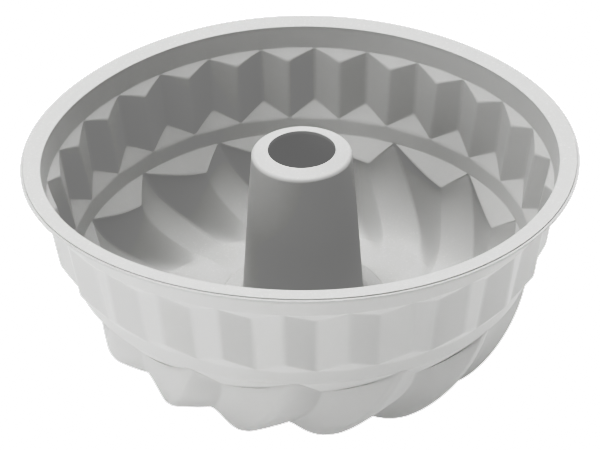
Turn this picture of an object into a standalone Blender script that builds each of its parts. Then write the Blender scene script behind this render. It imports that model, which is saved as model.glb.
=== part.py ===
"""Silicone fluted tube pan, 240 mm across: a thin one-piece moulding and the ring that stiffens its rim.

Run with blender --background --python part.py, or from the text editor. Metres, +Z up, with the
origin at the middle of the surface that the pan stands on.
"""

import math

import bmesh
import bpy

# Overall
RIM_DIAMETER = 0.240            # over the silicone lip
PAN_HEIGHT = 0.100              # table to the top of the ring
WALL = 0.0018                   # silicone, measured square to the surface
FIT_GAP = 0.0003                # between the ring and its seat

# Rim, from the wall's inner edge outwards
RIM_WIDTH = 0.0086              # wall's inner edge to the edge of the lip
RIM_RISE = 0.0012               # the rim's outer edge above its inner edge
LIP_SHOWING = 0.0006            # lip past the ring's edge
LIP_THICKNESS = 0.0010          # silicone at the lip's edge
FLANGE_THICKNESS = 0.0020       # silicone under the ring
FLANGE_FILLET = 0.0022          # flange underside to the wall
RING_THICKNESS = 0.0009
RIB_DEPTH = 0.0009              # rib under the ring, pressed into the flange
RIB_NECK = 0.0020               # rib width at the ring
RIB_FOOT = 0.0032               # rib width at its tip, wider than the groove's mouth
RIB_SETBACK = 0.0038            # ring's inner edge to the middle of the rib

# Plain upper band
BAND_HEIGHT = 0.0111
BAND_TAPER = 0.0014

# Straight V flutes
FLUTE_COUNT = 26
FLUTE_HEIGHT = 0.0269           # along the valleys
FLUTE_TAPER = 0.0028            # valleys lean in over their height
FLUTE_DEPTH = 0.0041            # ridge inside the valley at the top
FLUTE_LEDGE_DROP = 0.0055       # plain band to the top of a ridge
FLUTE_FOOT_STEP = 0.0056        # valley foot in to the middle band
FLUTE_FOOT_DROP = 0.0079
FLUTE_START = math.radians(169.1)   # angle of one valley
FLUTE_EDGE = 0.0009             # half width of the blunt edges

# Plain middle band
MIDDLE_HEIGHT = 0.0070
MIDDLE_TAPER = 0.0017

# Swirled flutes
SWIRL_COUNT = 14
SWIRL_DEPTH = 0.0074            # ridge inside the valley at the top
SWIRL_LEDGE_DROP = 0.0098       # middle band to the top of a ridge
SWIRL_START = math.radians(165.1)   # angle of one valley at the middle band
WALL_TURN = math.radians(19.7)  # swirl from the middle band to the floor
FLOOR_TURN = math.radians(4.7)  # and on across the floor
TURN_EASE = 0.055               # how much slower the swirl turns near its ends, 0 being even
RIDGE_SHARE_TOP = 0.24          # where the ridge stands in its flute, at the ledge
RIDGE_SHARE_FLOOR = 0.50        # and where the wall has become the floor
RIDGE_SHARE_FOOT = 0.57         # and at the collar
LOBE_FULLNESS = 1.1             # how round the long side of a lobe is, 1 being flat
LEDGE_FULLNESS = 1.65           # and at the ledge above it
FULLNESS_FADE = 5               # how soon the ledge's roundness is gone, 1 being evenly to the floor
SWIRL_EDGE = 0.0020             # half width of the lobes' flat soles
CREST_EDGE = 0.0009             # half width of the ridges' blunt tops

# Curve from the wall into the floor
BOWL_RUN = 0.0236               # middle band in to where the floor is level
CREST_RUN = 0.0213              # the same along a ridge
BOWL_BLUNTNESS = 1.19           # 1 is a quarter ellipse and 2 a straight slope
CREST_BLUNTNESS = 1.32
CREST_RISE = 0.0035             # ridges above the valleys where the floor begins
CREST_FADE = 0.0013             # and at the collar
BOWL_STEPS = 8
FLOOR_STEPS = 4
FLOOR_SETTLE = 4                # how soon the ridges settle on the floor, 1 being evenly

# Floor, level at first and then rising to the collar
FLOOR_LEVEL_SHARE = 0.35        # how much of the floor lies level
FLOOR_SLOPE = math.radians(22)  # where it meets the collar's fillet

# Collar, a step round the tube's foot
COLLAR_HEIGHT = 0.0178          # table to the top of the step
COLLAR_WIDTH = 0.0108           # tube's foot out to the edge of the step
COLLAR_EDGE_RADIUS = 0.0015
COLLAR_FILLET = 0.0080          # floor to the side of the step
COLLAR_STEPS = 3

# Centre tube
TUBE_TOP_RADIUS = 0.0222
TUBE_FOOT_RADIUS = 0.0277       # where the fillet above the collar ends
TUBE_HOLE_RADIUS = 0.0148
TUBE_DROP = 0.0035              # tube top below the rim
TUBE_EDGE_RADIUS = 0.0024
TUBE_FOOT_FILLET = 0.0040
TUBE_COLUMNS = 48
TUBE_EDGE_STEPS = 3
FILLET_STEPS = 2

TINY_STEP = 0.0005              # least height of a ledge, where it runs out at a valley
LONG_SIDE_POINTS = (0.25, 0.5, 0.75)
SMOOTH_ANGLE = math.radians(28)     # corners sharper than this stay crisp

SILICONE_COLOUR = (0.62, 0.62, 0.60)
SILICONE_ROUGHNESS = 0.55
RING_COLOUR = (0.70, 0.70, 0.68)
RING_ROUGHNESS = 0.45

RIM_RADIUS = RIM_DIAMETER / 2
WALL_TOP_RADIUS = RIM_RADIUS - RIM_WIDTH
RING_RADIUS = RIM_RADIUS - LIP_SHOWING
RIB_RADIUS = WALL_TOP_RADIUS + RIB_SETBACK
FLOOR_HEIGHT = WALL             # top of the floor along the valleys
TUBE_TOP = PAN_HEIGHT - TUBE_DROP
COLLAR_RADIUS = TUBE_FOOT_RADIUS + COLLAR_WIDTH
COLLAR_FOOT_RADIUS = COLLAR_RADIUS + COLLAR_FILLET * (1 - math.sin(FLOOR_SLOPE))
BOWL_FOOT_RADIUS = WALL_TOP_RADIUS - BAND_TAPER - FLUTE_TAPER - FLUTE_FOOT_STEP - MIDDLE_TAPER - BOWL_RUN
FLOOR_LIFT = (1 - FLOOR_LEVEL_SHARE) * (BOWL_FOOT_RADIUS - COLLAR_FOOT_RADIUS) * math.tan(FLOOR_SLOPE) / 2


def clear_scene():
    """Remove every object, so that the model is all there is."""
    for item in list(bpy.data.objects):
        bpy.data.objects.remove(item, do_unlink=True)


def material(name, colour, roughness):
    """A plain Principled material."""
    made = bpy.data.materials.new(name)
    made.use_nodes = True
    shader = made.node_tree.nodes["Principled BSDF"]
    shader.inputs["Base Color"].default_value = (*colour, 1.0)
    shader.inputs["Roughness"].default_value = roughness
    shader.inputs["Metallic"].default_value = 0.0
    return made


def ring_top(radius):
    """Height of the ring's top face, which rises outwards, at a radius."""
    outward = (radius - WALL_TOP_RADIUS) / (RING_RADIUS - WALL_TOP_RADIUS)
    return PAN_HEIGHT - RIM_RISE * (1 - outward)


def ring_bottom(radius):
    """Height of the ring's underside at a radius."""
    return ring_top(radius) - RING_THICKNESS


def seat(radius):
    """Height of the flange's top face, under the ring, at a radius."""
    return ring_bottom(radius) - FIT_GAP


def offset_path(path, distance):
    """Move a path of (radius, height) points sideways, to the right of its run, with mitred corners."""
    moved = []
    for k, (radius, height) in enumerate(path):
        sides = []
        for start, end in ((k - 1, k), (k, k + 1)):
            if start < 0 or end >= len(path):
                continue
            run = path[end][0] - path[start][0]
            drop = path[end][1] - path[start][1]
            length = math.hypot(run, drop)
            sides.append((-drop / length, run / length))
        normal = (sum(s[0] for s in sides), sum(s[1] for s in sides))
        size = math.hypot(*normal)
        normal = (normal[0] / size, normal[1] / size)
        reach = distance / (normal[0] * sides[0][0] + normal[1] * sides[0][1])
        moved.append((radius + normal[0] * reach, height + normal[1] * reach))
    return moved


class Station:
    """One level of the wall, on its way down from the rim and in to the tube."""

    def __init__(self, valley, ridge, turn=0.0, share=RIDGE_SHARE_TOP, fullness=LOBE_FULLNESS, pattern="flute"):
        self.valley = valley        # (radius, height) along the valleys
        self.ridge = ridge          # (radius, height) along the ridges
        self.turn = turn            # how far the swirl has turned
        self.share = share          # where the ridge stands between two valleys
        self.fullness = fullness    # how round the long side is
        self.pattern = pattern      # flute or swirl

    @property
    def plain(self):
        return self.valley == self.ridge


def wall_stations():
    """The inner surface, from under the ring down to the foot of the collar."""
    wall_top = (WALL_TOP_RADIUS, seat(WALL_TOP_RADIUS))
    band_foot = (WALL_TOP_RADIUS - BAND_TAPER, ring_top(WALL_TOP_RADIUS) - BAND_HEIGHT)
    stations = [Station(wall_top, wall_top), Station(band_foot, band_foot)]

    valley_foot = (band_foot[0] - FLUTE_TAPER, band_foot[1] - FLUTE_HEIGHT)
    middle_top = (valley_foot[0] - FLUTE_FOOT_STEP, valley_foot[1] - FLUTE_FOOT_DROP)
    stations.append(Station((band_foot[0], band_foot[1] - TINY_STEP),
                            (band_foot[0] - FLUTE_DEPTH, band_foot[1] - FLUTE_LEDGE_DROP)))
    stations.append(Station(valley_foot, (middle_top[0], middle_top[1] + TINY_STEP)))
    stations.append(Station(middle_top, middle_top))

    middle_foot = (middle_top[0] - MIDDLE_TAPER, middle_top[1] - MIDDLE_HEIGHT)
    stations.append(Station(middle_foot, middle_foot, pattern="swirl"))

    valley_top = (middle_foot[0], middle_foot[1] - TINY_STEP)
    ridge_top = (middle_foot[0] - SWIRL_DEPTH, middle_foot[1] - SWIRL_LEDGE_DROP)
    for step in range(BOWL_STEPS + 1):
        progress = step / BOWL_STEPS
        bend = progress * math.pi / 2
        inward = 1 - math.cos(bend) ** BOWL_BLUNTNESS
        down = math.sin(bend) ** BOWL_BLUNTNESS
        valley = (valley_top[0] - BOWL_RUN * inward,
                  valley_top[1] - (valley_top[1] - FLOOR_HEIGHT) * down)
        crest_inward = 1 - math.cos(bend) ** CREST_BLUNTNESS
        crest_down = math.sin(bend) ** CREST_BLUNTNESS
        ridge = (ridge_top[0] - CREST_RUN * crest_inward,
                 ridge_top[1] - (ridge_top[1] - FLOOR_HEIGHT - CREST_RISE) * crest_down)
        turn = WALL_TURN * (progress - TURN_EASE * math.sin(math.tau * progress))
        share = RIDGE_SHARE_TOP + (RIDGE_SHARE_FLOOR - RIDGE_SHARE_TOP) * math.sin(bend)
        fullness = LOBE_FULLNESS + (LEDGE_FULLNESS - LOBE_FULLNESS) * (1 - progress) ** FULLNESS_FADE
        stations.append(Station(valley, ridge, turn, share, fullness, "swirl"))

    for step in range(1, FLOOR_STEPS + 1):
        progress = step / FLOOR_STEPS
        climb = max(progress - FLOOR_LEVEL_SHARE, 0) / (1 - FLOOR_LEVEL_SHARE)
        height = FLOOR_HEIGHT + FLOOR_LIFT * climb ** 2
        settled = 1 - (1 - progress) ** FLOOR_SETTLE
        rise = CREST_RISE + (CREST_FADE - CREST_RISE) * settled
        stations.append(Station(
            (valley[0] + (COLLAR_FOOT_RADIUS - valley[0]) * progress, height),
            (ridge[0] + (COLLAR_FOOT_RADIUS - ridge[0]) * progress, height + rise),
            WALL_TURN + FLOOR_TURN * settled,
            RIDGE_SHARE_FLOOR + (RIDGE_SHARE_FOOT - RIDGE_SHARE_FLOOR) * settled,
            pattern="swirl"))
    return stations


def outer_stations(inner):
    """The outside of the wall: the inner surface moved out by the wall's thickness."""
    valleys = offset_path([s.valley for s in inner], WALL)
    ridges = offset_path([s.ridge for s in inner], WALL)
    outer = []
    for station, valley, ridge in zip(inner, valleys, ridges):
        if station.plain:
            valley = ridge
        outer.append(Station(valley, ridge, station.turn, station.share, station.fullness, station.pattern))
    return outer


def flute_columns(station):
    """Angle and share of the way from valley to ridge, for each column round a station of V flutes."""
    pitch = math.tau / FLUTE_COUNT
    valley_edge = FLUTE_EDGE / station.valley[0]
    ridge_edge = FLUTE_EDGE / station.ridge[0]
    columns = []
    for flute in range(FLUTE_COUNT):
        valley = FLUTE_START + flute * pitch
        ridge = valley + pitch / 2
        columns += [(valley - valley_edge, 0.0), (valley + valley_edge, 0.0),
                    (ridge - ridge_edge, 1.0), (ridge + ridge_edge, 1.0)]
    return columns


def swirl_columns(station):
    """The same round a station of swirled flutes, whose long side is rounded."""
    pitch = math.tau / SWIRL_COUNT
    sole = SWIRL_EDGE / station.valley[0]
    crest = CREST_EDGE / station.ridge[0]
    columns = []
    for flute in range(SWIRL_COUNT):
        valley = SWIRL_START - station.turn + flute * pitch
        ridge = valley + station.share * pitch
        columns += [(valley - sole, 0.0), (valley + sole, 0.0), (ridge - crest, 1.0), (ridge + crest, 1.0)]
        long_start = ridge + crest
        long_end = valley + pitch - sole
        for point in LONG_SIDE_POINTS:
            columns.append((long_start + point * (long_end - long_start), 1 - point ** station.fullness))
    return columns


def station_ring(bm, station):
    """One closed ring of vertices round the pan, as (angle, vertex) pairs."""
    columns = flute_columns(station) if station.pattern == "flute" else swirl_columns(station)
    ring = []
    for angle, share in columns:
        radius = station.valley[0] + (station.ridge[0] - station.valley[0]) * share
        height = station.valley[1] + (station.ridge[1] - station.valley[1]) * share
        ring.append((angle, bm.verts.new((radius * math.cos(angle), radius * math.sin(angle), height))))
    return ring


def plain_ring(bm, radius, height, angles):
    """One round ring of vertices at the given angles."""
    return [(angle, bm.verts.new((radius * math.cos(angle), radius * math.sin(angle), height)))
            for angle in angles]


def even_angles(count):
    return [math.tau * k / count for k in range(count)]


def join(bm, first, second):
    """Skin the strip between two rings: quads where they match, otherwise triangles by angle."""
    if len(first) == len(second):
        for k in range(len(first)):
            after = (k + 1) % len(first)
            bm.faces.new((first[k][1], first[after][1], second[after][1], second[k][1]))
        return
    offset = (first[0][0] - second[0][0]) / math.tau * len(second)
    shift = round(offset)
    laps = [0, 0]

    def angle(ring, index):
        return ring[index % len(ring)][0] + math.tau * (index // len(ring))

    while laps[0] < len(first) or laps[1] < len(second):
        here, there = laps[0], laps[1] + shift
        a = first[here % len(first)][1]
        b = second[there % len(second)][1]
        ahead = laps[1] >= len(second) or angle(first, here + 1) <= angle(second, there + 1)
        if ahead and laps[0] < len(first):
            bm.faces.new((a, first[(here + 1) % len(first)][1], b))
            laps[0] += 1
        else:
            bm.faces.new((a, second[(there + 1) % len(second)][1], b))
            laps[1] += 1


def skin(bm, rings):
    """Skin a run of rings that doesn't close on itself."""
    for first, second in zip(rings, rings[1:]):
        join(bm, first, second)


def finish(bm, name, finish_material):
    """Make the object: one closed body with its faces out, shaded smooth."""
    bmesh.ops.recalc_face_normals(bm, faces=bm.faces)
    mesh = bpy.data.meshes.new(name)
    bm.to_mesh(mesh)
    bm.free()
    mesh.shade_smooth()
    mesh.set_sharp_from_angle(angle=SMOOTH_ANGLE)
    mesh.materials.append(finish_material)
    made = bpy.data.objects.new(name, mesh)
    bpy.context.collection.objects.link(made)
    return made


def arc(centre, radius, start, end, steps):
    """Points of an arc in the (radius, height) plane, ends included."""
    points = []
    for step in range(steps + 1):
        angle = start + (end - start) * step / steps
        points.append((centre[0] + radius * math.cos(angle), centre[1] + radius * math.sin(angle)))
    return points


def tube_section():
    """The collar and the tube: up the cavity side, over the top, through the hole and down inside."""
    collar_foot_centre = (COLLAR_RADIUS + COLLAR_FILLET,
                          FLOOR_HEIGHT + FLOOR_LIFT + COLLAR_FILLET * math.cos(FLOOR_SLOPE))
    collar_foot_angle = -math.pi / 2 - FLOOR_SLOPE
    collar_edge_centre = (COLLAR_RADIUS - COLLAR_EDGE_RADIUS, COLLAR_HEIGHT - COLLAR_EDGE_RADIUS)
    collar = arc(collar_foot_centre, COLLAR_FILLET, collar_foot_angle, -math.pi, COLLAR_STEPS)[1:]
    collar += arc(collar_edge_centre, COLLAR_EDGE_RADIUS, 0.0, math.pi / 2, FILLET_STEPS)
    inner_collar = [(COLLAR_RADIUS - WALL, COLLAR_HEIGHT - WALL)]
    inner_collar += arc(collar_foot_centre, COLLAR_FILLET + WALL, -math.pi, collar_foot_angle,
                        COLLAR_STEPS)[:-1]
    foot_centre = (TUBE_FOOT_RADIUS + TUBE_FOOT_FILLET, COLLAR_HEIGHT + TUBE_FOOT_FILLET)
    edge_centre = (TUBE_TOP_RADIUS - TUBE_EDGE_RADIUS, TUBE_TOP - TUBE_EDGE_RADIUS)
    foot = arc(foot_centre, TUBE_FOOT_FILLET, -math.pi / 2, -math.pi, FILLET_STEPS)
    edge = arc(edge_centre, TUBE_EDGE_RADIUS, 0.0, math.pi / 2, TUBE_EDGE_STEPS)
    hole = [(TUBE_HOLE_RADIUS, TUBE_TOP), (TUBE_HOLE_RADIUS, TUBE_TOP - WALL)]
    inner_edge = arc(edge_centre, TUBE_EDGE_RADIUS - WALL, math.pi / 2, 0.0, FILLET_STEPS)
    inner_foot = arc(foot_centre, TUBE_FOOT_FILLET + WALL, -math.pi, -math.pi / 2, FILLET_STEPS)
    return collar + foot + edge + hole + inner_edge + inner_foot + inner_collar


def groove_section():
    """The top of the flange from the wall's edge out to the lip, with the groove for the ring's rib."""
    mouth = RIB_NECK / 2 + FIT_GAP
    foot = RIB_FOOT / 2 + FIT_GAP
    floor = seat(RIB_RADIUS) - RIB_DEPTH
    return [(RIB_RADIUS - mouth, seat(RIB_RADIUS - mouth)), (RIB_RADIUS - foot, floor),
            (RIB_RADIUS + foot, floor), (RIB_RADIUS + mouth, seat(RIB_RADIUS + mouth)),
            (RIM_RADIUS, seat(RIM_RADIUS))]


def flange_underside(wall_outside):
    """The flange from its outer edge back in to the wall, with a fillet."""
    def under(radius):
        return seat(radius) - FLANGE_THICKNESS
    fillet_radius = wall_outside + FLANGE_FILLET
    fillet_centre = (fillet_radius, under(fillet_radius) - FLANGE_FILLET)
    fillet = arc(fillet_centre, FLANGE_FILLET, math.pi / 2, math.pi, FILLET_STEPS)
    return [(RIM_RADIUS, seat(RIM_RADIUS) - LIP_THICKNESS)] + fillet


def make_body():
    """The silicone moulding."""
    bm = bmesh.new()
    inner = wall_stations()
    outer = outer_stations(inner)
    rings = [station_ring(bm, station) for station in inner]
    tube_angles = even_angles(TUBE_COLUMNS)
    rings += [plain_ring(bm, radius, height, tube_angles) for radius, height in tube_section()]
    rings += [station_ring(bm, station) for station in reversed(outer[1:])]

    rim_angles = [angle for angle, share in flute_columns(inner[0])]
    section = list(reversed(flange_underside(outer[0].valley[0])))
    section += list(reversed(groove_section()))
    rings += [plain_ring(bm, radius, height, rim_angles) for radius, height in section]
    skin(bm, rings + rings[:1])
    return finish(bm, "mould_body", material("silicone", SILICONE_COLOUR, SILICONE_ROUGHNESS))


def make_ring():
    """The flat ring that stiffens the rim, with the rib that grips the flange's groove."""
    bm = bmesh.new()
    rib_tip = seat(RIB_RADIUS) - RIB_DEPTH + FIT_GAP
    section = [(WALL_TOP_RADIUS, ring_top(WALL_TOP_RADIUS)), (RING_RADIUS, ring_top(RING_RADIUS)),
               (RING_RADIUS, ring_bottom(RING_RADIUS)),
               (RIB_RADIUS + RIB_NECK / 2, ring_bottom(RIB_RADIUS + RIB_NECK / 2)),
               (RIB_RADIUS + RIB_FOOT / 2, rib_tip), (RIB_RADIUS - RIB_FOOT / 2, rib_tip),
               (RIB_RADIUS - RIB_NECK / 2, ring_bottom(RIB_RADIUS - RIB_NECK / 2)),
               (WALL_TOP_RADIUS, ring_bottom(WALL_TOP_RADIUS))]
    angles = [angle for angle, share in flute_columns(Station((WALL_TOP_RADIUS, 0), (WALL_TOP_RADIUS, 0)))]
    rings = [plain_ring(bm, radius, height, angles) for radius, height in section]
    skin(bm, rings + rings[:1])
    return finish(bm, "rim_ring", material("ring", RING_COLOUR, RING_ROUGHNESS))


def main():
    clear_scene()
    make_body()
    make_ring()


main()
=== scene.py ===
"""Finish the silicone fluted tube pan and set it up for a studio picture.

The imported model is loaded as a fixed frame. The moulding and the rim ring are made again with their
soft edges and given their materials, and then the floor, the lights and the camera are set up.
Metres, +Z up, with the origin in the middle of the plane that the pan stands on.
"""

import math

import bmesh
import bpy
from bpy.props import FloatProperty, FloatVectorProperty, PointerProperty
from bpy.types import Operator, Panel, PropertyGroup
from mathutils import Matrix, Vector


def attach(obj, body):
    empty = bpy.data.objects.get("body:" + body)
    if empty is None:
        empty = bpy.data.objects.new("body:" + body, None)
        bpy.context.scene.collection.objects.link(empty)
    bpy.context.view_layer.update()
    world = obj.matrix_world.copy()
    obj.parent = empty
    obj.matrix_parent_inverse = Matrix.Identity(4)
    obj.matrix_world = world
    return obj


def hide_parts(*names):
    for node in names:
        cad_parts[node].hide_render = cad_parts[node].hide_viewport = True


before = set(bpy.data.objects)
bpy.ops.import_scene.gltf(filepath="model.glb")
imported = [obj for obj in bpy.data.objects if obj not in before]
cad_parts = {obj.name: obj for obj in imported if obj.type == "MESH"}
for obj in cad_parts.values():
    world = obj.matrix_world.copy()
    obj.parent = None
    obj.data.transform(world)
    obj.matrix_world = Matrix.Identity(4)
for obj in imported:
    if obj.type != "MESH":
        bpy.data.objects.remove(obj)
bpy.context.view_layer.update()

bl_info = {
    "name": "Fluted Tube Pan",
    "version": (1, 0, 0),
    "blender": (4, 5, 0),
    "location": "View3D > Sidebar > Tube Pan",
    "description": "Makes a silicone fluted tube pan with its rim ring, materials and studio",
    "category": "Object",
}

# Rim, from the wall's inner edge outwards
RIM_RADIUS = 0.120
PAN_HEIGHT = 0.100
WALL = 0.0018                   # silicone, measured square to the surface
FIT_GAP = 0.00006               # between the ring and its seat
RIM_WIDTH = 0.0086
RIM_RISE = 0.0014               # the rim's outer edge above its inner edge
LIP_SHOWING = 0.0011            # silicone past the ring's edge
LIP_RAISE = 0.0003              # the lip's top above the ring's seat
LIP_THICKNESS = 0.0010          # silicone at the lip's edge
LIP_GAP = 0.0001                # fine line between the ring's edge and the lip
FLANGE_THICKNESS = 0.0022
FLANGE_FILLET = 0.0022
RING_THICKNESS = 0.0009
RIB_DEPTH = 0.0009              # rib under the ring, wider at its foot than at its neck
RIB_NECK = 0.0020
RIB_FOOT = 0.0032
RIB_SETBACK = 0.0038            # from the wall's inner edge to the middle of the rib

# Plain upper band and the straight flutes below it
BAND_HEIGHT = 0.0111
BAND_TAPER = 0.0014
FLUTE_COUNT = 26
FLUTE_HEIGHT = 0.0269
FLUTE_TAPER = 0.0028
FLUTE_DEPTH = 0.0041
FLUTE_LEDGE_DROP = 0.0055
FLUTE_FOOT_STEP = 0.0056
FLUTE_FOOT_DROP = 0.0079
FLUTE_START = math.radians(169.1)

# Plain middle band and the swirled flutes below it
MIDDLE_HEIGHT = 0.0070
MIDDLE_TAPER = 0.0017
SWIRL_COUNT = 14
SWIRL_DEPTH = 0.0074
SWIRL_LEDGE_DROP = 0.0098
SWIRL_START = math.radians(165.1)
WALL_TURN = math.radians(19.7)
FLOOR_TURN = math.radians(4.7)
FLOOR_SETTLE = 4                # how soon the lobes settle on the floor, 1 being evenly
TURN_EASE = 0.055               # how much slower the turn starts and ends than it runs
RIDGE_SHARE_TOP = 0.24          # where a ridge stands between two valleys, at three places
RIDGE_SHARE_FLOOR = 0.50
RIDGE_SHARE_FOOT = 0.57
LOBE_FULLNESS = 1.1             # roundness of a lobe's long side, 1 being flat
LEDGE_FULLNESS = 1.65           # and right under the ledge
FULLNESS_FADE = 5
SWELL_ONSET = 3
SOLE_EDGE = 0.0020              # half width of the lobes' flat soles, outside
CREASE_EDGE = 0.0007            # and of the valleys above them, inside

# Curve from the wall into the floor, for the valleys and for the crests of the ridges
BOWL_RUN = 0.0236
CREST_RUN = 0.0213
BOWL_BLUNTNESS = 1.19
CREST_BLUNTNESS = 1.32
CREST_RISE = 0.0035             # the crests above the floor, at the foot of the wall
CREST_FADE = 0.0013             # and at the collar

# Floor, level at first and then rising to the collar
FLOOR_LEVEL_SHARE = 0.35
FLOOR_SLOPE = math.radians(22)  # where it meets the collar's fillet

# Collar, a step round the tube's foot
COLLAR_HEIGHT = 0.0178
COLLAR_WIDTH = 0.0108
COLLAR_EDGE_RADIUS = 0.0015
COLLAR_FILLET = 0.0080

# Centre tube
TUBE_TOP_RADIUS = 0.0224
TUBE_FOOT_RADIUS = 0.0277
TUBE_HOLE_RADIUS = 0.0148
TUBE_DROP = 0.0035              # the tube's top below the rim's
TUBE_TOP_FALL = 0.0014          # from the hole out to the rounded edge
TUBE_EDGE_RADIUS = 0.0020
TUBE_FOOT_FILLET = 0.0040

# How the soft rim lies, as waves round it: (waves, size, angle of the first crest in degrees)
RISE_WAVES = ((1, 0.00058, 81.0), (2, 0.00156, 83.7), (3, 0.00018, 0.0))
SPREAD_WAVES = ((0, 0.00031, 0.0), (1, 0.00114, -99.1), (2, 0.00102, 3.1), (3, 0.00037, -36.3),
                (4, 0.00043, 10.3))
TWIST_WAVES = ((1, 0.00025, 106.3), (2, 0.00056, 36.1))
RIM_SETTLE = 0.00053            # and how far it sits down all round
RIM_ROCK = 0.0007               # how far its inner edge drops at the back and lifts at the front
TUBE_NOD = math.radians(1.9)    # the tube's top tips to the front
TUBE_LEAN = 0.0005              # and leans to the right
STILL_RADIUS = 0.032            # the rim's waves do not reach the tube
LOOSE_RADIUS = 0.080            # and have their full size from here outwards

# How far the rounding of the level edges reaches
BAND_SOFTNESS = 0.0006
FLUTE_FOOT_SOFTNESS = 0.0010
MIDDLE_SOFTNESS = 0.0026
SWIRL_TOP_SOFTNESS = 0.0014
LIP_SOFTNESS = 0.0002
RING_SOFTNESS = 0.0002
RING_INNER_SOFTNESS = 0.0007
HOLE_SOFTNESS = 0.0003
COLLAR_SOFTNESS = 0.0010

# And of the upright ones
FLUTE_SOFTNESS = 0.0014
RIDGE_SOFTNESS = 0.0016
CREASE_SOFTNESS = 0.0006

# How finely the pan is divided
COLUMNS = 364                   # shared by 26 flutes and by 14 lobes
FACE_COLUMNS = (0.36, 0.64)     # where columns stand on a flute's face, from valley to ridge
SHORT_SIDE_COLUMNS = (0.35, 0.65)
LONG_SIDE_COLUMNS = (0.07, 0.15, 0.25, 0.35, 0.45, 0.55, 0.65, 0.75, 0.85, 0.94)
TINY_STEP = 0.0005              # between a band's foot and the ledges that start there
MIDDLE_STEPS = 4
BOWL_STEPS = 22
FLOOR_STEPS = 14
CORNER_STEPS = 4
SOLE_STEPS = 3
FILLET_STEPS = 6
COLLAR_STEPS = 9
RING_STEPS = 260
REACH_LIMIT = 0.45              # share of an edge that the rounding of one corner may take
SHARP_ANGLE = math.radians(40)  # corners sharper than this stay crisp
MERGE_DISTANCE = 1e-6

WALL_TOP_RADIUS = RIM_RADIUS - RIM_WIDTH
RING_RADIUS = RIM_RADIUS - LIP_SHOWING
RIB_RADIUS = WALL_TOP_RADIUS + RIB_SETBACK
TUBE_TOP = PAN_HEIGHT - TUBE_DROP
COLLAR_RADIUS = TUBE_FOOT_RADIUS + COLLAR_WIDTH
COLLAR_FOOT_RADIUS = COLLAR_RADIUS + COLLAR_FILLET * (1 - math.sin(FLOOR_SLOPE))
BOWL_FOOT_RADIUS = (WALL_TOP_RADIUS - BAND_TAPER - FLUTE_TAPER - FLUTE_FOOT_STEP - MIDDLE_TAPER
                    - BOWL_RUN)
FLOOR_LIFT = ((1 - FLOOR_LEVEL_SHARE) * (BOWL_FOOT_RADIUS - COLLAR_FOOT_RADIUS)
              * math.tan(FLOOR_SLOPE) / 2)


def ring_top(radius):
    """Height of the ring's top face, which rises outwards."""
    outward = (radius - WALL_TOP_RADIUS) / (RING_RADIUS - WALL_TOP_RADIUS)
    return PAN_HEIGHT - RIM_RISE * (1 - outward)


def ring_bottom(radius):
    return ring_top(radius) - RING_THICKNESS


def seat(radius):
    """Height of the flange's top face, under the ring."""
    return ring_bottom(radius) - FIT_GAP


def curve(start, corner, end, steps):
    """Points of a curve from start to end that leaves and arrives in the corner's direction."""
    points = []
    for step in range(steps + 1):
        t = step / steps
        points.append(start * (1 - t) ** 2 + corner * 2 * t * (1 - t) + end * t ** 2)
    return points


def round_corner(before, corner, after, reach):
    """Points of a curve that rounds a corner and starts and ends a reach from it."""
    start = corner.lerp(before, min(reach / (before - corner).length, REACH_LIMIT))
    end = corner.lerp(after, min(reach / (after - corner).length, REACH_LIMIT))
    return curve(start, corner, end, CORNER_STEPS)


def round_section(section, reach):
    """Round every inner corner of an open (radius, height) section."""
    points = [Vector(p) for p in section]
    rounded = [points[0]]
    for before, corner, after in zip(points, points[1:], points[2:]):
        rounded += round_corner(before, corner, after, reach)
    return rounded + [points[-1]]


def round_along(before, corner, after, reach, steps=CORNER_STEPS):
    """Round a corner of a wall's plan, with the reach measured along the wall alone."""
    start = corner.lerp(before, min(reach / abs(before.x - corner.x), REACH_LIMIT))
    end = corner.lerp(after, min(reach / abs(after.x - corner.x), REACH_LIMIT))
    return curve(start, corner, end, steps)


def arc(centre, radius, start, end, steps=FILLET_STEPS):
    """Points of an arc in the (radius, height) plane, ends included."""
    return [(centre[0] + radius * math.cos(start + (end - start) * step / steps),
             centre[1] + radius * math.sin(start + (end - start) * step / steps))
            for step in range(steps + 1)]


def offset_path(path, distance):
    """Move a path of (radius, height) points to the right of its run, with mitred corners."""
    moved = []
    for k, point in enumerate(path):
        if k == 0:
            runs = [(path[1] - path[0]).normalized()]
        elif k == len(path) - 1:
            runs = [(path[k] - path[k - 1]).normalized()]
        else:
            runs = [(path[k] - path[k - 1]).normalized(), (path[k + 1] - path[k]).normalized()]
        sides = [Vector((-run.y, run.x)) for run in runs]
        normal = sum(sides, Vector((0.0, 0.0))).normalized()
        moved.append(point + normal * (distance / normal.dot(sides[0])))
    return moved


class Level:
    """One level of the moulding: where its valleys and ridges are and how its columns stand."""

    def __init__(self, valley, ridge=None, turn=0.0, share=RIDGE_SHARE_TOP, fullness=LOBE_FULLNESS,
                 swell=0.0, spread=0.0, soft=0.0, sole=CREASE_EDGE):
        self.valley = Vector(valley)
        self.ridge = Vector(ridge if ridge is not None else valley)
        self.turn = turn
        self.share = share          # where the ridge stands between two valleys
        self.fullness = fullness
        self.swell = swell          # how far the long side is a swell, hollow beside the valley
        self.spread = spread        # 0 for straight flutes, 1 for swirled ones, 2 for even columns
        self.soft = soft            # how far the rounding of the wall's corner here reaches
        self.sole = sole            # half width of the valleys' bottom

    def moved(self, valley, ridge, sole=None):
        return Level(valley, ridge, self.turn, self.share, self.fullness, self.swell, self.spread,
                     self.soft, sole or self.sole)


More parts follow.
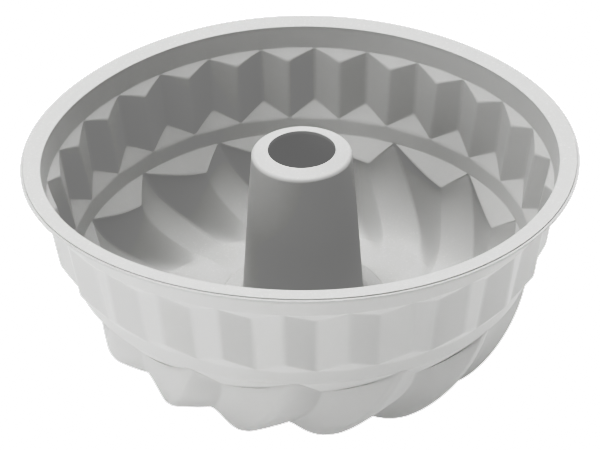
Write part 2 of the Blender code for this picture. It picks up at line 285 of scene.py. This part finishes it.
def wall_levels():
    """The inner surface, from under the ring down to the foot of the collar."""
    band_foot = Vector((WALL_TOP_RADIUS - BAND_TAPER, ring_top(WALL_TOP_RADIUS) - BAND_HEIGHT))
    valley_foot = band_foot - Vector((FLUTE_TAPER, FLUTE_HEIGHT))
    middle_top = valley_foot - Vector((FLUTE_FOOT_STEP, FLUTE_FOOT_DROP))
    middle_foot = middle_top - Vector((MIDDLE_TAPER, MIDDLE_HEIGHT))
    tiny = Vector((0.0, TINY_STEP))
    flute_ridge_top = band_foot - Vector((FLUTE_DEPTH, FLUTE_LEDGE_DROP))
    levels = [
        Level((WALL_TOP_RADIUS, seat(WALL_TOP_RADIUS))),
        Level(band_foot, soft=BAND_SOFTNESS),
        Level(band_foot - tiny, flute_ridge_top, soft=FLUTE_FOOT_SOFTNESS),
        Level(valley_foot, middle_top + tiny, soft=FLUTE_FOOT_SOFTNESS),
        Level(middle_top, soft=MIDDLE_SOFTNESS),
    ]
    for step in range(1, MIDDLE_STEPS):
        share = step / MIDDLE_STEPS
        levels.append(Level(middle_top.lerp(middle_foot, share), spread=share))
    levels.append(Level(middle_foot, spread=1.0, soft=BAND_SOFTNESS))

    valley_top = middle_foot - tiny
    ridge_top = middle_foot - Vector((SWIRL_DEPTH, SWIRL_LEDGE_DROP))
    for step in range(BOWL_STEPS + 1):
        progress = step / BOWL_STEPS
        bend = progress * math.pi / 2
        inward = 1 - math.cos(bend) ** BOWL_BLUNTNESS
        down = math.sin(bend) ** BOWL_BLUNTNESS
        valley = Vector((valley_top.x - BOWL_RUN * inward,
                         valley_top.y - (valley_top.y - WALL) * down))
        crest_inward = 1 - math.cos(bend) ** CREST_BLUNTNESS
        crest_down = math.sin(bend) ** CREST_BLUNTNESS
        ridge = Vector((ridge_top.x - CREST_RUN * crest_inward,
                        ridge_top.y - (ridge_top.y - WALL - CREST_RISE) * crest_down))
        levels.append(Level(
            valley, ridge,
            WALL_TURN * (progress - TURN_EASE * math.sin(math.tau * progress)),
            RIDGE_SHARE_TOP + (RIDGE_SHARE_FLOOR - RIDGE_SHARE_TOP) * math.sin(bend),
            LOBE_FULLNESS + (LEDGE_FULLNESS - LOBE_FULLNESS) * (1 - progress) ** FULLNESS_FADE,
            progress ** SWELL_ONSET, 1.0, SWIRL_TOP_SOFTNESS if step == 0 else 0.0))

    for step in range(1, FLOOR_STEPS + 1):
        progress = step / FLOOR_STEPS
        climb = max(progress - FLOOR_LEVEL_SHARE, 0) / (1 - FLOOR_LEVEL_SHARE)
        height = WALL + FLOOR_LIFT * climb ** 2
        settled = 1 - (1 - progress) ** FLOOR_SETTLE
        rise = CREST_RISE + (CREST_FADE - CREST_RISE) * settled
        levels.append(Level(
            (valley.x + (COLLAR_FOOT_RADIUS - valley.x) * progress, height),
            (ridge.x + (COLLAR_FOOT_RADIUS - ridge.x) * progress, height + rise),
            WALL_TURN + FLOOR_TURN * settled,
            RIDGE_SHARE_FLOOR + (RIDGE_SHARE_FOOT - RIDGE_SHARE_FLOOR) * settled,
            swell=1.0, spread=1.0))
    return levels


def outside_levels(inner):
    """The outside of the wall: the inner surface moved out by the wall's thickness."""
    valleys = offset_path([level.valley for level in inner], WALL)
    ridges = offset_path([level.ridge for level in inner], WALL)
    return [level.moved(ridge if level.valley == level.ridge else valley, ridge, SOLE_EDGE)
            for level, valley, ridge in zip(inner, valleys, ridges)]


def soften(levels):
    """Round the corner that the wall turns at each soft level."""
    made = [levels[0]]
    for before, here, after in zip(levels, levels[1:], levels[2:]):
        if not here.soft:
            made.append(here)
            continue
        valleys = round_corner(before.valley, here.valley, after.valley, here.soft)
        ridges = round_corner(before.ridge, here.ridge, after.ridge, here.soft)
        made += [here.moved(valley, ridge) for valley, ridge in zip(valleys, ridges)]
    return made + [levels[-1]]


def flute_columns(level):
    """(angle, share of the way from valley to ridge) of each column, where flutes are straight."""
    pitch = math.tau / FLUTE_COUNT
    reach = FLUTE_SOFTNESS / (level.ridge.x * pitch)
    valley, ridge, next_valley = Vector((0.0, 0.0)), Vector((0.5, 1.0)), Vector((1.0, 0.0))
    rising = [valley.lerp(ridge, share) for share in FACE_COLUMNS]
    falling = [next_valley.lerp(ridge, share) for share in reversed(FACE_COLUMNS)]
    points = round_along(falling[-1] - next_valley, valley, rising[0], reach)
    points += rising + round_along(rising[-1], ridge, falling[0], reach) + falling
    return [(FLUTE_START + (index + point.x) * pitch, point.y)
            for index in range(FLUTE_COUNT) for point in points]


def swirl_columns(level):
    """The same where the flutes swirl: flat sole, steep short side, crest and round long side."""
    pitch = math.tau / SWIRL_COUNT
    sole = level.sole / (level.valley.x * pitch)
    sole_reach = (CREASE_SOFTNESS + (level.sole - CREASE_EDGE)) / (level.valley.x * pitch)
    ridge_reach = RIDGE_SOFTNESS / (level.ridge.x * pitch)
    centre, next_centre = Vector((0.0, 0.0)), Vector((1.0, 0.0))
    near, far = Vector((sole, 0.0)), Vector((1 - sole, 0.0))
    ridge = Vector((level.share, 1.0))
    short = [near.lerp(ridge, t) for t in SHORT_SIDE_COLUMNS]
    long = []
    for t in LONG_SIDE_COLUMNS:
        plain, swelling = 1 - t ** level.fullness, 0.5 + 0.5 * math.cos(math.pi * t)
        long.append(Vector((ridge.x + (far.x - ridge.x) * t,
                            plain + (swelling - plain) * level.swell)))
    points = [centre] + round_along(centre, near, short[0], sole_reach, SOLE_STEPS)
    points += short + round_along(short[-1], ridge, long[0], ridge_reach) + long
    points += round_along(long[-1], far, next_centre, sole_reach, SOLE_STEPS)
    return [(SWIRL_START - level.turn + (index + point.x) * pitch, point.y)
            for index in range(SWIRL_COUNT) for point in points]


def even_columns(level):
    pitch = math.tau / COLUMNS
    return [(SWIRL_START - level.turn + index * pitch, 0.0) for index in range(COLUMNS)]


def columns(level):
    """Where each column stands on a level, between one pattern and the next if need be."""
    if level.spread <= 1:
        patterns, weight = (flute_columns, swirl_columns), level.spread
    else:
        patterns, weight = (swirl_columns, even_columns), level.spread - 1
    if weight in (0, 1):
        return patterns[round(weight)](level)
    return [(a + (b - a) * weight, s + (t - s) * weight)
            for (a, s), (b, t) in zip(patterns[0](level), patterns[1](level))]


def tube_levels(turn):
    """The collar and the tube: up the cavity side, over the top and down the hollow inside."""
    collar_centre = Vector((COLLAR_RADIUS + COLLAR_FILLET,
                            WALL + FLOOR_LIFT + COLLAR_FILLET * math.cos(FLOOR_SLOPE)))
    foot_angle = -math.pi / 2 - FLOOR_SLOPE
    collar_foot = arc(collar_centre, COLLAR_FILLET, foot_angle, -math.pi, COLLAR_STEPS)[1:]
    collar_edge = arc((COLLAR_RADIUS - COLLAR_EDGE_RADIUS, COLLAR_HEIGHT - COLLAR_EDGE_RADIUS),
                      COLLAR_EDGE_RADIUS, 0.0, math.pi / 2)
    under_foot = arc(collar_centre, COLLAR_FILLET + WALL, -math.pi, foot_angle, COLLAR_STEPS)[:-1]
    foot_centre = (TUBE_FOOT_RADIUS + TUBE_FOOT_FILLET, COLLAR_HEIGHT + TUBE_FOOT_FILLET)
    edge_centre = (TUBE_TOP_RADIUS - TUBE_EDGE_RADIUS, TUBE_TOP - TUBE_TOP_FALL - TUBE_EDGE_RADIUS)
    top_slope = math.atan(TUBE_TOP_FALL / (edge_centre[0] - TUBE_HOLE_RADIUS))
    foot = arc(foot_centre, TUBE_FOOT_FILLET, -math.pi / 2, -math.pi)
    edge = arc(edge_centre, TUBE_EDGE_RADIUS, 0.0, math.pi / 2 - top_slope)
    hole = round_section([edge[-1], (TUBE_HOLE_RADIUS, TUBE_TOP),
                          (TUBE_HOLE_RADIUS, TUBE_TOP - WALL),
                          (edge_centre[0], TUBE_TOP - TUBE_TOP_FALL - WALL)], HOLE_SOFTNESS)[1:]
    inner_edge = arc(edge_centre, TUBE_EDGE_RADIUS - WALL, math.pi / 2 - top_slope, 0.0)[1:]
    inner_foot = arc(foot_centre, TUBE_FOOT_FILLET + WALL, -math.pi, -math.pi / 2)
    under_edge = round_section([inner_foot[-1], (COLLAR_RADIUS - WALL, COLLAR_HEIGHT - WALL),
                                under_foot[0]], COLLAR_SOFTNESS)[1:-1]

    def foot_levels(points, evenness, sole):
        """The lobes' relief runs out on the collar's fillet, as the columns become even."""
        return [Level(point,
                      Vector(point) + (collar_centre - Vector(point)).normalized() * CREST_FADE,
                      turn, RIDGE_SHARE_FOOT, swell=1.0, spread=1 + even, sole=sole)
                for point, even in zip(points, evenness)]

    rising = [(step + 1) / COLLAR_STEPS for step in range(COLLAR_STEPS)]
    section = collar_edge + foot + edge + hole + inner_edge + inner_foot + under_edge
    return (foot_levels(collar_foot, rising, CREASE_EDGE)
            + [Level(point, turn=turn, spread=2.0) for point in section]
            + foot_levels(under_foot, reversed(rising), SOLE_EDGE))


def rim_levels(outside):
    """The flange: out along its underside, round the lip and in over the seat with its groove."""
    fillet_radius = outside + FLANGE_FILLET
    fillet_height = seat(fillet_radius) - FLANGE_THICKNESS - FLANGE_FILLET
    fillet = arc((fillet_radius, fillet_height), FLANGE_FILLET, math.pi, math.pi / 2)
    mouth = RIB_NECK / 2 + FIT_GAP
    foot = RIB_FOOT / 2 + FIT_GAP
    floor = seat(RIB_RADIUS) - RIB_DEPTH
    lip_top = seat(RIM_RADIUS) + LIP_RAISE
    lip_inside = RING_RADIUS + LIP_GAP
    lip = round_section([fillet[-1], (RIM_RADIUS, seat(RIM_RADIUS) - LIP_THICKNESS),
                         (RIM_RADIUS, lip_top), (lip_inside, lip_top)], LIP_SOFTNESS)[1:]
    lip += [(lip_inside, seat(lip_inside)), (RIB_RADIUS + mouth, seat(RIB_RADIUS + mouth))]
    groove = [(RIB_RADIUS + foot, floor), (RIB_RADIUS - foot, floor),
              (RIB_RADIUS - mouth, seat(RIB_RADIUS - mouth))]
    return [Level(point) for point in fillet + lip + groove]


def mould_levels():
    """Every level of the moulding, once round its section."""
    inner = wall_levels()
    outer = outside_levels(inner)
    tube = tube_levels(inner[-1].turn)
    outside = soften(list(reversed(outer)))[:-1]
    return soften(inner) + tube + outside + rim_levels(outer[0].valley.x)


def place(vertex, level, column):
    """Move a vertex to its column on its level."""
    angle, share = column
    point = level.valley.lerp(level.ridge, share)
    vertex.co = (point.x * math.cos(angle), point.x * math.sin(angle), point.y)


def wave(angle, waves):
    return sum(size * math.cos(count * (angle - math.radians(crest)))
               for count, size, crest in waves)


def lie(bm, slack):
    """Let the soft pan lie as such a pan does.

    The rim bows, spreads, twists and rocks a little, and less so lower down. The tube's top tips
    to the front and leans to the right.
    """
    for vertex in bm.verts:
        x, y, z = vertex.co
        radius, angle = math.hypot(x, y), math.atan2(y, x)
        loose = min(max((radius - STILL_RADIUS) / (LOOSE_RADIUS - STILL_RADIUS), 0.0), 1.0)
        amount = slack * max(z, 0.0) / PAN_HEIGHT * loose
        angle += amount * wave(angle, TWIST_WAVES) / RIM_RADIUS
        radius += amount * wave(angle, SPREAD_WAVES)
        inward = min(max((RIM_RADIUS - radius) / RIM_WIDTH, 0.0), 1.0)
        upward = min(max(1 - (PAN_HEIGHT - z) / BAND_HEIGHT, 0.0), 1.0)
        rock = RIM_ROCK * inward * upward * math.sin(angle)
        z += amount * (wave(angle, RISE_WAVES) - RIM_SETTLE - rock)
        lean = slack * max(z, 0.0) / PAN_HEIGHT * (1 - loose)
        vertex.co = (radius * math.cos(angle) + lean * TUBE_LEAN, radius * math.sin(angle),
                     z + lean ** 2 * y * math.tan(TUBE_NOD))


def make_object(name, bm, material):
    """Turn a bmesh into a smooth object with one material."""
    bmesh.ops.recalc_face_normals(bm, faces=bm.faces)
    mesh = bpy.data.meshes.new(name)
    bm.to_mesh(mesh)
    bm.free()
    mesh.shade_smooth()
    mesh.set_sharp_from_angle(angle=SHARP_ANGLE)
    mesh.materials.append(material)
    made = bpy.data.objects.new(name, mesh)
    bpy.context.scene.collection.objects.link(made)
    return made


def make_piece(name, bm, material, slack):
    """Close a piece's seams, let it lie and shade it evenly."""
    bmesh.ops.remove_doubles(bm, verts=bm.verts, dist=MERGE_DISTANCE)
    lie(bm, slack)
    made = make_object(name, bm, material)
    weigh = made.modifiers.new("even shading", "WEIGHTED_NORMAL")
    weigh.keep_sharp = True
    return made


def make_mould(material, slack):
    """The silicone moulding: a grid wrapped round the pan and round its section."""
    levels = mould_levels()
    spreads = [columns(level) for level in levels]
    bm = bmesh.new()
    grid = bmesh.ops.create_grid(bm, x_segments=COLUMNS, y_segments=len(levels), size=1.0)
    for vertex in grid["verts"]:
        column = round((vertex.co.x + 1) / 2 * COLUMNS) % COLUMNS
        row = round((vertex.co.y + 1) / 2 * len(levels)) % len(levels)
        place(vertex, levels[row], spreads[row][column])
    return make_piece("silicone_mould", bm, material, slack)


def make_ring(material, slack):
    """The rim's stiffening ring: its section, with the two upper edges rounded, spun round."""
    tip = seat(RIB_RADIUS) - RIB_DEPTH + FIT_GAP
    inner_bottom = Vector((WALL_TOP_RADIUS, ring_bottom(WALL_TOP_RADIUS)))
    inner_top = Vector((WALL_TOP_RADIUS, ring_top(WALL_TOP_RADIUS)))
    outer_top = Vector((RING_RADIUS, ring_top(RING_RADIUS)))
    outer_bottom = Vector((RING_RADIUS, ring_bottom(RING_RADIUS)))
    section = round_corner(inner_bottom, inner_top, outer_top, RING_INNER_SOFTNESS)
    section += round_corner(inner_top, outer_top, outer_bottom, RING_SOFTNESS)
    section += [outer_bottom,
                (RIB_RADIUS + RIB_NECK / 2, ring_bottom(RIB_RADIUS + RIB_NECK / 2)),
                (RIB_RADIUS + RIB_FOOT / 2, tip), (RIB_RADIUS - RIB_FOOT / 2, tip),
                (RIB_RADIUS - RIB_NECK / 2, ring_bottom(RIB_RADIUS - RIB_NECK / 2)),
                inner_bottom]
    bm = bmesh.new()
    verts = [bm.verts.new((radius, 0.0, height)) for radius, height in section]
    edges = [bm.edges.new((verts[k - 1], verts[k])) for k in range(len(verts))]
    bmesh.ops.spin(bm, geom=verts + edges, cent=(0, 0, 0), axis=(0, 0, 1), angle=math.tau,
                   steps=RING_STEPS, use_merge=True)
    return make_piece("rim_band", bm, material, slack)


# Finish of the silicone and of the ring
LIGHT_GREY = (0.45, 0.45, 0.4455)
SPECULAR = 0.4
MOULD_SHEEN = 0.1
RING_SHEEN = 0.0
SHEEN_ROUGHNESS = 0.6
MOTTLE_SCALE = 45.0             # patches in a metre
SPECK_SCALE = 900.0
DUST_FACING = (0.5, 1.0)        # how far up a surface faces, from no dust to all of it
SPECK_EDGE = (0.55, 0.75)       # noise at which a speck of dust starts and is full
ROUGHNESS_SWING = 0.16          # how far the roughness follows the mottling


def add_node(tree, kind, **values):
    """Add a node and set its inputs, or its own settings where it has no such input."""
    node = tree.nodes.new(kind)
    for key, value in values.items():
        if key in node.inputs:
            node.inputs[key].default_value = value
        else:
            setattr(node, key, value)
    return node


def calculate(tree, operation, *terms):
    """Add a Math node on numbers and other nodes' outputs, and give its result."""
    node = add_node(tree, "ShaderNodeMath", operation=operation)
    for socket, term in zip(node.inputs, terms):
        if isinstance(term, float):
            socket.default_value = term
        else:
            tree.links.new(term, socket)
    return node.outputs[0]


def stretch(tree, value, low, high):
    """Add a Map Range node that takes low to 0 and high to 1, and give its result."""
    node = add_node(tree, "ShaderNodeMapRange", **{"From Min": low, "From Max": high})
    tree.links.new(value, node.inputs["Value"])
    return node.outputs["Result"]


def moulded_skin():
    """Node group: the faint mottling, grain and dust of a moulded rubbery surface."""
    group = bpy.data.node_groups.new("moulded skin", "ShaderNodeTree")
    sockets = (("Colour", "INPUT", "NodeSocketColor", (0.7, 0.7, 0.68, 1)),
               ("Dust Colour", "INPUT", "NodeSocketColor", (0.85, 0.85, 0.83, 1)),
               ("Roughness", "INPUT", "NodeSocketFloat", 0.5),
               ("Mottling", "INPUT", "NodeSocketFloat", 0.02),
               ("Dust", "INPUT", "NodeSocketFloat", 0.2),
               ("Grain Size", "INPUT", "NodeSocketFloat", 0.0006),
               ("Grain Height", "INPUT", "NodeSocketFloat", 0.00002),
               ("Waviness", "INPUT", "NodeSocketFloat", 0.00008),
               ("Colour", "OUTPUT", "NodeSocketColor", None),
               ("Roughness", "OUTPUT", "NodeSocketFloat", None),
               ("Normal", "OUTPUT", "NodeSocketVector", None))
    for name, way, kind, default in sockets:
        socket = group.interface.new_socket(name=name, in_out=way, socket_type=kind)
        if default is not None:
            socket.default_value = default
    link = group.links.new
    given = group.nodes.new("NodeGroupInput").outputs
    result = group.nodes.new("NodeGroupOutput").inputs
    spot = group.nodes.new("ShaderNodeTexCoord").outputs["Object"]

    mottle = add_node(group, "ShaderNodeTexNoise", Scale=MOTTLE_SCALE, Detail=4.0, Roughness=0.6)
    link(spot, mottle.inputs["Vector"])
    fine = add_node(group, "ShaderNodeTexNoise", Detail=2.0, Roughness=0.5)
    link(calculate(group, "DIVIDE", 1.0, given["Grain Size"]), fine.inputs["Scale"])
    link(spot, fine.inputs["Vector"])

    # Brightness goes up and down by the mottling
    centred = calculate(group, "SUBTRACT", mottle.outputs["Fac"], 0.5)
    scaled = calculate(group, "MULTIPLY", centred, given["Mottling"])
    toned = add_node(group, "ShaderNodeVectorMath", operation="SCALE")
    link(given["Colour"], toned.inputs[0])
    link(calculate(group, "MULTIPLY_ADD", scaled, 2.0, 1.0), toned.inputs["Scale"])

    # Dust lies on what faces up, in patches
    facing = group.nodes.new("ShaderNodeNewGeometry")
    parts = group.nodes.new("ShaderNodeSeparateXYZ")
    link(facing.outputs["Normal"], parts.inputs[0])
    specks = add_node(group, "ShaderNodeTexNoise", Scale=SPECK_SCALE, Detail=3.0, Roughness=0.7)
    link(spot, specks.inputs["Vector"])
    dust = calculate(group, "MULTIPLY", stretch(group, parts.outputs["Z"], *DUST_FACING),
                     stretch(group, specks.outputs["Fac"], *SPECK_EDGE))
    mixed = add_node(group, "ShaderNodeMix", data_type="RGBA")
    link(calculate(group, "MULTIPLY", dust, given["Dust"]), mixed.inputs["Factor"])
    link(toned.outputs["Vector"], mixed.inputs[6])
    link(given["Dust Colour"], mixed.inputs[7])
    link(mixed.outputs[2], result["Colour"])

    # Roughness follows the mottling a little
    link(calculate(group, "MULTIPLY_ADD", centred, ROUGHNESS_SWING, given["Roughness"]),
         result["Roughness"])

    grain = add_node(group, "ShaderNodeBump", Strength=1.0)
    link(given["Grain Height"], grain.inputs["Distance"])
    link(fine.outputs["Fac"], grain.inputs["Height"])
    waves = add_node(group, "ShaderNodeBump", Strength=1.0)
    link(given["Waviness"], waves.inputs["Distance"])
    link(mottle.outputs["Fac"], waves.inputs["Height"])
    link(grain.outputs["Normal"], waves.inputs["Normal"])
    link(waves.outputs["Normal"], result["Normal"])
    return group


def skin_material(name, colour, roughness, sheen):
    """A Principled material that takes its colour, roughness and normal from the skin group."""
    material = bpy.data.materials.new(name)
    material.use_nodes = True
    tree = material.node_tree
    shader = tree.nodes["Principled BSDF"]
    skin = tree.nodes.new("ShaderNodeGroup")
    skin.node_tree = bpy.data.node_groups.get("moulded skin") or moulded_skin()
    skin.inputs["Colour"].default_value = (*colour, 1.0)
    skin.inputs["Roughness"].default_value = roughness
    tree.links.new(skin.outputs["Colour"], shader.inputs["Base Color"])
    tree.links.new(skin.outputs["Roughness"], shader.inputs["Roughness"])
    tree.links.new(skin.outputs["Normal"], shader.inputs["Normal"])
    shader.inputs["Specular IOR Level"].default_value = SPECULAR
    shader.inputs["Sheen Weight"].default_value = sheen
    shader.inputs["Sheen Roughness"].default_value = SHEEN_ROUGHNESS
    return material


class PanFinish(PropertyGroup):
    """Colours and finish of the pan."""
    silicone: FloatVectorProperty(
        name="Silicone", description="Colour of the moulding", subtype="COLOR", size=3,
        min=0.0, max=1.0, default=LIGHT_GREY)
    ring: FloatVectorProperty(
        name="Ring", description="Colour of the rim ring", subtype="COLOR", size=3,
        min=0.0, max=1.0, default=LIGHT_GREY)
    roughness: FloatProperty(
        name="Roughness", description="Roughness of the silicone", min=0.0, max=1.0,
        subtype="FACTOR", default=0.55)
    slack: FloatProperty(
        name="Slack", description="How far the soft rim bows and spreads", min=0.0, max=1.0,
        subtype="FACTOR", default=1.0)


class PanStudio(PropertyGroup):
    """Camera, lights and floor."""
    lens: FloatProperty(
        name="Lens", description="Focal length", unit="CAMERA", min=10.0, default=118.58)
    light: FloatProperty(
        name="Light", description="All the lamps and the floor's glow together", min=0.0,
        default=1.0)
    backdrop: FloatProperty(
        name="Backdrop", description="How bright the floor looks in the picture", min=0.0,
        default=1.85)


class PAN_OT_mould(Operator):
    """Make the silicone moulding in place of its solid"""
    bl_idname = "pan.mould"
    bl_label = "Silicone Moulding"

    def execute(self, context):
        finish = context.scene.pan_finish
        material = skin_material("light grey silicone", finish.silicone, finish.roughness,
                                 MOULD_SHEEN)
        made = make_mould(material, finish.slack)
        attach(made, "root")
        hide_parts("mould_body")
        return {"FINISHED"}


class PAN_OT_rim_ring(Operator):
    """Make the rim ring in place of its solid"""
    bl_idname = "pan.rim_ring"
    bl_label = "Rim Ring"

    def execute(self, context):
        finish = context.scene.pan_finish
        material = skin_material("pale rim ring", finish.ring, finish.roughness, RING_SHEEN)
        made = make_ring(material, finish.slack)
        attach(made, "root")
        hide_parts("rim_ring")
        return {"FINISHED"}


# Floor: a light table, white and glowing, which lights the pan from below
FLOOR_RADIUS = 4.0
FLOOR_SEGMENTS = 64
FLOOR_GLOW = 0.350
FLOOR_WHITE = (0.9, 0.9, 0.9, 1.0)
FLOOR_ROUGHNESS = 0.8
PURE_WHITE = (1.0, 1.0, 1.0, 1.0)

# Square lamps, all aimed at one point of the pan: (name, place, power in watts)
LAMP_SIDE = 0.9
LAMPS = (
    ("top", (0.0, 0.0, 1.5), 10.2),
    ("low_front_left", (-1.045, -1.045, 0.31), 8.2),
    ("over_left", (-0.413, 0.0, 1.492), 8.0),
    ("over_back_left", (-0.207, 0.358, 1.492), 7.8),
    ("low_right", (1.477, 0.0, 0.31), 7.8),
    ("back", (0.0, 1.272, 0.845), 4.2),
    ("low_back_right", (1.045, 1.045, 0.31), 3.0),
    ("front_left", (-0.899, -0.899, 0.845), 2.8),
    ("low_back", (0.0, 1.477, 0.31), 2.6),
    ("over_right", (0.413, 0.0, 1.492), 1.2),
    ("low_left", (-1.477, 0.0, 0.31), 0.8),
    ("right", (1.272, 0.0, 0.845), 0.4),
    ("high_right", (0.86, 0.0, 1.279), 0.4),
)
AIM = (0.0, 0.0, 0.05)

# Camera, at the photograph's viewing angle
SENSOR_WIDTH = 36.0
CAMERA_PLACE = (0.0, -0.7436, PAN_HEIGHT + 0.4430)
CAMERA_TURN = (56.811, 0.762, -0.434)       # in degrees

# Tone of the picture: (light, how light it looks), with the pan's greys held between a soft dark
# grey and an off-white, and everything brighter than the pan white
TONE_WHITE = 2.0
TONE = ((0.0, 0.118), (0.062, 0.128), (0.141, 0.140), (0.25, 0.188), (0.391, 0.392),
        (0.562, 0.605), (0.766, 0.762), (1.0, 0.792), (1.266, 0.803), (1.562, 0.815), (2.0, 1.0))
COMBINED_CURVE = 3              # after those of red, green and blue


def add_lamp(name, location, power):
    """Add a square lamp that is aimed at the pan."""
    data = bpy.data.lights.new(name, "AREA")
    data.shape = "SQUARE"
    data.size = LAMP_SIDE
    data.energy = power
    made = bpy.data.objects.new(name, data)
    made.location = location
    toward = Vector(AIM) - Vector(location)
    made.rotation_euler = toward.to_track_quat("-Z", "Y").to_euler()
    bpy.context.scene.collection.objects.link(made)


def strength_when_seen(tree, lighting, seen):
    """One strength for lighting the pan, and another for what the picture shows."""
    path = tree.nodes.new("ShaderNodeLightPath")
    strength = add_node(tree, "ShaderNodeMapRange", **{"To Min": lighting, "To Max": seen})
    tree.links.new(path.outputs["Is Camera Ray"], strength.inputs["Value"])
    return strength.outputs["Result"]


def lit_floor(glow, backdrop):
    """Paint for the floor: white, glowing a little, and seen brighter than it lights."""
    paint = bpy.data.materials.new("white light table")
    paint.use_nodes = True
    tree = paint.node_tree
    shader = tree.nodes["Principled BSDF"]
    shader.inputs["Base Color"].default_value = FLOOR_WHITE
    shader.inputs["Roughness"].default_value = FLOOR_ROUGHNESS
    shader.inputs["Specular IOR Level"].default_value = 0.0
    shader.inputs["Emission Color"].default_value = PURE_WHITE
    tree.links.new(strength_when_seen(tree, glow, backdrop), shader.inputs["Emission Strength"])
    return paint


def backdrop_world():
    """White behind everything, which does not light the pan."""
    world = bpy.data.worlds.new("studio")
    world.use_nodes = True
    tree = world.node_tree
    background = tree.nodes["Background"]
    background.inputs["Color"].default_value = PURE_WHITE
    tree.links.new(strength_when_seen(tree, 0.0, TONE_WHITE), background.inputs["Strength"])
    return world


def set_tone(view):
    """Give the picture its tone curve, straight from point to point."""
    view.view_transform = "Standard"
    view.use_curve_mapping = True
    mapping = view.curve_mapping
    mapping.white_level = (TONE_WHITE, TONE_WHITE, TONE_WHITE)
    mapping.extend = "HORIZONTAL"
    points = mapping.curves[COMBINED_CURVE].points
    points[0].location = (TONE[0][0] / TONE_WHITE, TONE[0][1])
    points[1].location = (TONE[-1][0] / TONE_WHITE, TONE[-1][1])
    for light, looks in TONE[1:-1]:
        points.new(light / TONE_WHITE, looks)
    for point in points:
        point.handle_type = "VECTOR"
    mapping.update()


class PAN_OT_stage(Operator):
    """Set up the floor, the lights and the camera"""
    bl_idname = "pan.stage"
    bl_label = "Studio"

    def execute(self, context):
        studio = context.scene.pan_studio
        scene = context.scene
        bm = bmesh.new()
        bmesh.ops.create_circle(bm, cap_ends=True, segments=FLOOR_SEGMENTS, radius=FLOOR_RADIUS)
        floor = make_object("floor", bm, lit_floor(FLOOR_GLOW * studio.light, studio.backdrop))
        scene.world = backdrop_world()
        for name, location, power in LAMPS:
            add_lamp(name, location, power * studio.light)

        data = bpy.data.cameras.new("camera")
        data.lens = studio.lens
        data.sensor_width = SENSOR_WIDTH
        camera = bpy.data.objects.new("camera", data)
        camera.location = CAMERA_PLACE
        camera.rotation_euler = [math.radians(turn) for turn in CAMERA_TURN]
        scene.collection.objects.link(camera)
        scene.camera = camera
        set_tone(scene.view_settings)
        return {"FINISHED"}


class PAN_PT_sidebar(Panel):
    """Sidebar panel with the pan's pieces, finish and studio"""
    bl_idname = "PAN_PT_sidebar"
    bl_label = "Fluted Tube Pan"
    bl_space_type = "VIEW_3D"
    bl_region_type = "UI"
    bl_category = "Tube Pan"

    def draw(self, context):
        layout = self.layout
        for group in (context.scene.pan_finish, context.scene.pan_studio):
            box = layout.box()
            for name in group.__annotations__:
                box.prop(group, name)
        for operator in (PAN_OT_mould, PAN_OT_rim_ring, PAN_OT_stage):
            layout.operator(operator.bl_idname)


CLASSES = (PanFinish, PanStudio, PAN_OT_mould, PAN_OT_rim_ring, PAN_OT_stage, PAN_PT_sidebar)


def register():
    for item in CLASSES:
        bpy.utils.register_class(item)
    bpy.types.Scene.pan_finish = PointerProperty(type=PanFinish)
    bpy.types.Scene.pan_studio = PointerProperty(type=PanStudio)


def unregister():
    del bpy.types.Scene.pan_studio
    del bpy.types.Scene.pan_finish
    for item in reversed(CLASSES):
        bpy.utils.unregister_class(item)


def main():
    register()
    bpy.ops.pan.mould()
    bpy.ops.pan.rim_ring()
    bpy.ops.pan.stage()


if __name__ == "__main__":
    main()
